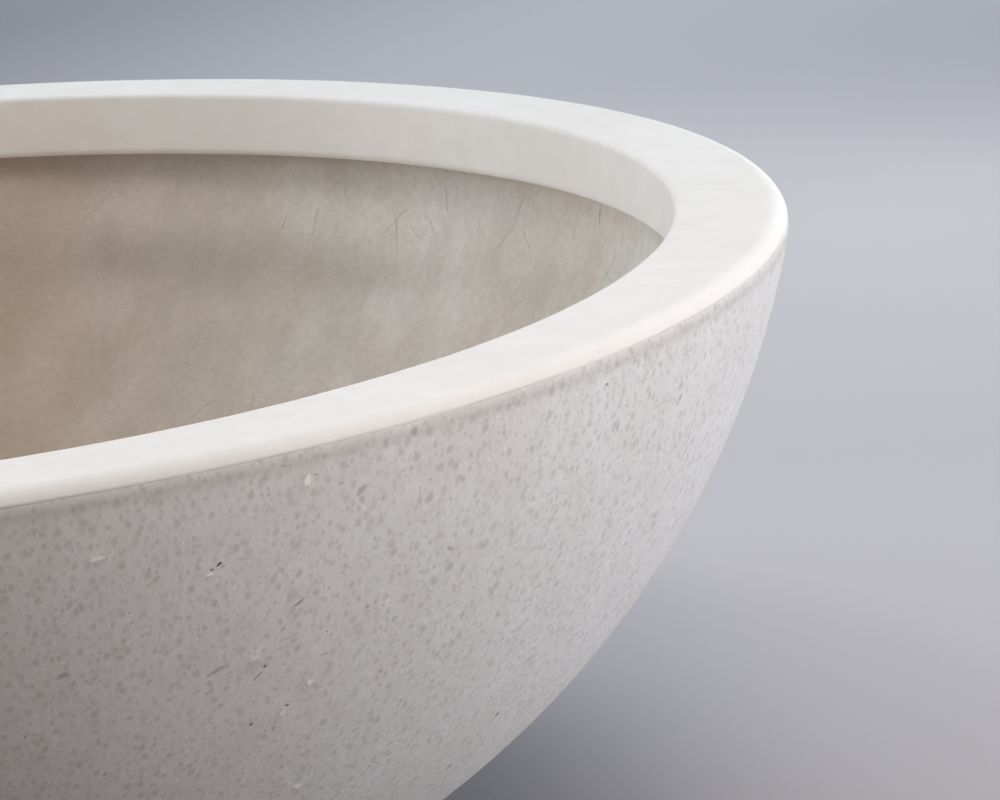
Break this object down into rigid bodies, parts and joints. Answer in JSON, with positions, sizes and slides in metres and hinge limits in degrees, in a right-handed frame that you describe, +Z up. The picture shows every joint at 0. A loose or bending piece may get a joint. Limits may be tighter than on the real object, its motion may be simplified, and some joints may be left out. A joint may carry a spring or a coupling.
{
  "type": "bowl planter",
  "caption": "Low round cement bowl planter: wide flat white rim turned down inside, stone-flecked curved wall, drain hole with a lift-out plug, rubber pads underneath.",
  "frame": {"origin": "on the ground, under the middle of the bowl, in the plane of the pads' feet", "axes": "+Z up along the bowl's axis; +X and +Y level, each midway between two of the four pads"},
  "size_m": [0.5997, 0.5998, 0.19],
  "materials": {
    "white_cement": "smooth cast white cement, matt",
    "stone_face": "honed fine stone fleck in grey-white cement, matt",
    "raw_backing": "raw hand-laid fibre cement, rough and mottled",
    "sleeve_plastic": "moulded grey plastic, matt",
    "black_rubber": "moulded rubber, matt"
  },
  "bodies": {
    "bowl": {"rim_collar": "white_cement", "face_shell": "stone_face", "backing_shell": "raw_backing", "drain_sleeve": "sleeve_plastic", "foot_pad_1": "black_rubber", "foot_pad_2": "black_rubber", "foot_pad_3": "black_rubber", "foot_pad_4": "black_rubber"},
    "plug": {"drain_plug": "black_rubber"}
  },
  "joints": [
    {"name": "plug_lift", "type": "slide", "parent": "bowl", "child": "plug", "axis": [0, 0, 1], "range_m": [0, 0.2]}
  ]
}
